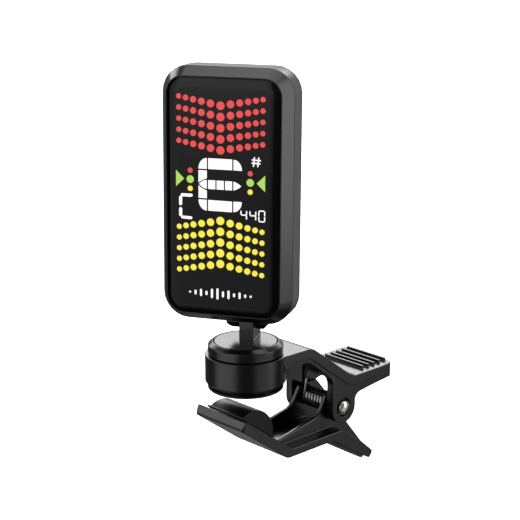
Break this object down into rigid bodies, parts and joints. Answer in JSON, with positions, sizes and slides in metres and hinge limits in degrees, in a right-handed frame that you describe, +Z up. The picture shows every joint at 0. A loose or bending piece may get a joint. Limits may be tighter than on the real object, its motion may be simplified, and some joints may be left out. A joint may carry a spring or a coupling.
{
  "type": "clip-on tuner",
  "caption": "Clip-on instrument tuner: an upright colour display head that tilts and swivels above a sprung, rubber-padded clip with a ribbed thumb handle.",
  "frame": {"origin": "centre of the upper pad's flat underside, on the swivel axis", "axes": "+Z up along the swivel axis; +X back along the clip to the thumb handle; -Y the side of the rivet head"},
  "size_m": [0.0644, 0.0301, 0.1035],
  "materials": {
    "black_plastic": "glossy moulded plastic",
    "black_rubber": "matt soft rubber",
    "polished_steel": "polished nickel plate",
    "spring_steel": "bright wire and turned steel",
    "black_glass": "black printed acrylic window",
    "display_mask": "display module",
    "board_green": "solder mask",
    "brass": "brass sheet",
    "button_grey": "silicone button"
  },
  "bodies": {
    "clip_base": {"upper_arm": "black_plastic", "upper_pad": "black_rubber", "pivot_pin": "polished_steel", "pin_retainer": "polished_steel", "torsion_spring": "spring_steel", "swivel_collar": "black_plastic"},
    "lower_jaw": {"lower_arm": "black_plastic", "jaw_pad": "black_rubber"},
    "swivel": {"swivel_turntable": "black_plastic", "swivel_screw": "spring_steel", "swivel_washer": "spring_steel"},
    "head": {"front_bezel": "black_plastic", "rear_cover": "black_plastic", "display_window": "black_glass", "display_panel": "display_mask", "circuit_board": "board_green", "piezo_sensor": "brass", "coin_cell": "spring_steel", "contact_negative": "brass", "contact_positive": "brass", "mode_switch": "black_plastic", "power_switch": "black_plastic", "pitch_switch": "black_plastic", "tilt_pin": "spring_steel", "head_screw_1": "spring_steel", "head_screw_2": "spring_steel", "head_screw_3": "spring_steel", "head_screw_4": "spring_steel"},
    "door": {"battery_door": "black_plastic"},
    "mode_key": {"mode_button": "button_grey"},
    "power_key": {"power_button": "button_grey"},
    "pitch_key": {"pitch_button": "button_grey"}
  },
  "joints": [
    {"name": "jaw_pivot", "type": "hinge", "parent": "clip_base", "child": "lower_jaw", "pos_m": [0.0254, 0, -0.00955], "axis": [0, -1, 0], "range_deg": [0, 40], "stiffness_Nm_per_rad": 0.2, "springref_deg": -45.84, "deforming": ["torsion_spring"]},
    {"name": "head_swivel", "type": "hinge", "parent": "clip_base", "child": "swivel", "pos_m": [0, 0, 0.0117], "axis": [0, 0, 1], "continuous": true},
    {"name": "head_tilt", "type": "hinge", "parent": "swivel", "child": "head", "pos_m": [0.00299, 0.00172, 0.0171], "axis": [0.5, -0.866, 0], "range_deg": [-88, 20]},
    {"name": "door_turn", "type": "hinge", "parent": "head", "child": "door", "pos_m": [-0.00493, -0.00285, 0.06135], "axis": [0.8657, 0.4998, -0.0262], "range_deg": [0, 45]},
    {"name": "mode_press", "type": "slide", "parent": "head", "child": "mode_key", "axis": [-0.8657, -0.4998, 0.0262], "range_m": [0, 0.00035], "stiffness_N_per_m": 1500, "springref_m": -0.0002},
    {"name": "power_press", "type": "slide", "parent": "head", "child": "power_key", "axis": [-0.8657, -0.4998, 0.0262], "range_m": [0, 0.00035], "stiffness_N_per_m": 1500, "springref_m": -0.0002},
    {"name": "pitch_press", "type": "slide", "parent": "head", "child": "pitch_key", "axis": [-0.8657, -0.4998, 0.0262], "range_m": [0, 0.00035], "stiffness_N_per_m": 1500, "springref_m": -0.0002}
  ]
}
